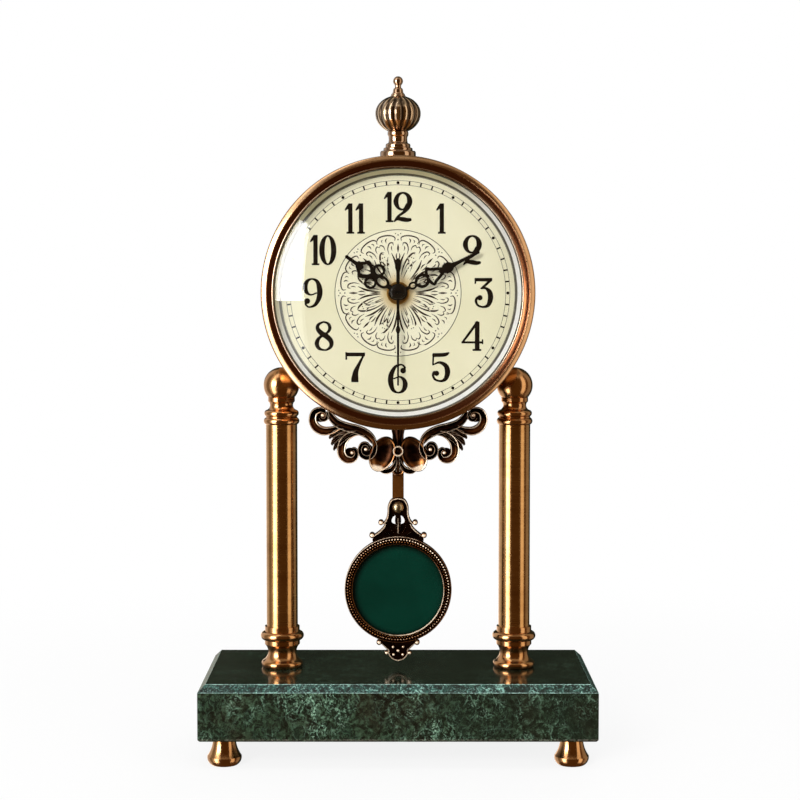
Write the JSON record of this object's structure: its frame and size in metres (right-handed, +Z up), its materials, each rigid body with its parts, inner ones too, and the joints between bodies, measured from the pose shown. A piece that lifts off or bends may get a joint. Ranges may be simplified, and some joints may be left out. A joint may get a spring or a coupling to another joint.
{
  "type": "desk pendulum clock",
  "caption": "Desk clock with a round dial in a bronze drum held between turned columns on a polished stone slab, with a pendulum that swings below the drum.",
  "frame": {"origin": "on the table, under the middle of the slab", "axes": "+X to the right of the dial, +Y from the dial to the back, +Z up"},
  "size_m": [0.201, 0.1, 0.3498],
  "materials": {
    "marble": "polished dark green marble",
    "bronze": "lacquered antique bronze",
    "cast_bronze": "dark antique casting with rubbed edges",
    "steel": "plain",
    "glass": "clear domed",
    "dial": "satin cream",
    "ring": "satin",
    "brass": "bright",
    "hands": "black enamel",
    "insert": "polished green",
    "housing": "moulded",
    "gears": "moulded",
    "copper": "enamelled wire",
    "board": "printed board",
    "magnet": "nickel plated",
    "battery": "wrapped"
  },
  "bodies": {
    "clock_frame": {"base_slab": "marble", "foot_front_left": "bronze", "foot_front_right": "bronze", "foot_rear_left": "bronze", "foot_rear_right": "bronze", "column_base_left": "bronze", "column_tube_left": "bronze", "column_capital_left": "bronze", "column_ball_left": "bronze", "column_base_right": "bronze", "column_tube_right": "bronze", "column_capital_right": "bronze", "column_ball_right": "bronze", "bezel": "bronze", "case_shell": "bronze", "rear_cover": "bronze", "finial_collar": "bronze", "finial_melon": "bronze", "finial_tip": "bronze", "scroll_crest": "cast_bronze", "tie_rod_left": "steel", "tie_rod_right": "steel", "tie_rod_nuts": "steel", "ball_screws": "steel", "finial_screw": "steel", "crest_screws": "steel", "rear_cover_screws": "steel", "pivot_pin": "steel", "battery_contacts": "steel", "stator": "steel", "glass": "glass", "dial_plate": "dial", "dial_ring": "ring", "dial_nut": "brass", "movement_housing": "housing", "movement_cover": "housing", "motor_coil": "copper", "drive_coil": "copper", "circuit_board": "board", "battery": "battery"},
    "pendulum": {"pendulum_hanger": "housing", "drive_magnet": "magnet", "pendulum_rod": "bronze", "bob_frame": "cast_bronze", "bob_insert": "insert", "bob_back_plate": "cast_bronze", "pendulum_rivets": "cast_bronze"},
    "second_train": {"second_wheel": "gears", "second_hand": "hands", "hand_cap": "hands"},
    "minute_train": {"cannon_pinion": "gears", "centre_wheel": "gears", "minute_hand": "hands"},
    "hour_train": {"hour_wheel": "gears", "hour_hand": "hands"},
    "minute_wheel_body": {"minute_wheel": "gears"},
    "third_wheel_body": {"third_wheel": "gears"},
    "fifth_wheel_body": {"fifth_wheel": "gears"},
    "rotor_body": {"rotor": "gears"},
    "knob_body": {"set_knob": "housing"}
  },
  "joints": [
    {"name": "pendulum_swing", "type": "hinge", "parent": "clock_frame", "child": "pendulum", "pos_m": [0, 0, 0.22782], "axis": [0, 1, 0], "range_deg": [-6.9, 6.9]},
    {"name": "second_hand_turn", "type": "hinge", "parent": "clock_frame", "child": "second_train", "pos_m": [0, 0, 0.23842], "axis": [0, 1, 0], "continuous": true},
    {"name": "minute_hand_turn", "type": "hinge", "parent": "clock_frame", "child": "minute_train", "pos_m": [0, 0, 0.23842], "axis": [0, 1, 0], "continuous": true},
    {"name": "hour_hand_turn", "type": "hinge", "parent": "clock_frame", "child": "hour_train", "pos_m": [0, 0, 0.23842], "axis": [0, 1, 0], "continuous": true},
    {"name": "minute_wheel_turn", "type": "hinge", "parent": "clock_frame", "child": "minute_wheel_body", "pos_m": [0.01039, 0, 0.23242], "axis": [0, 1, 0], "continuous": true},
    {"name": "third_wheel_turn", "type": "hinge", "parent": "clock_frame", "child": "third_wheel_body", "pos_m": [-0.01015, 0, 0.23473], "axis": [0, 1, 0], "continuous": true},
    {"name": "fifth_wheel_turn", "type": "hinge", "parent": "clock_frame", "child": "fifth_wheel_body", "pos_m": [0.00677, 0, 0.24088], "axis": [0, 1, 0], "continuous": true},
    {"name": "rotor_turn", "type": "hinge", "parent": "clock_frame", "child": "rotor_body", "pos_m": [0.01127, 0, 0.23552], "axis": [0, 1, 0], "continuous": true},
    {"name": "set_knob_turn", "type": "hinge", "parent": "clock_frame", "child": "knob_body", "pos_m": [0.0135, 0, 0.22083], "axis": [0, 1, 0], "continuous": true}
  ],
  "couplings": [
    {"joint": "minute_hand_turn", "follows": "second_hand_turn", "ratio": 0.016667},
    {"joint": "minute_wheel_turn", "follows": "second_hand_turn", "ratio": -0.0055556},
    {"joint": "hour_hand_turn", "follows": "second_hand_turn", "ratio": 0.0013889},
    {"joint": "set_knob_turn", "follows": "second_hand_turn", "ratio": 0.016667},
    {"joint": "third_wheel_turn", "follows": "second_hand_turn", "ratio": -0.125},
    {"joint": "fifth_wheel_turn", "follows": "second_hand_turn", "ratio": -5},
    {"joint": "rotor_turn", "follows": "second_hand_turn", "ratio": 30}
  ]
}
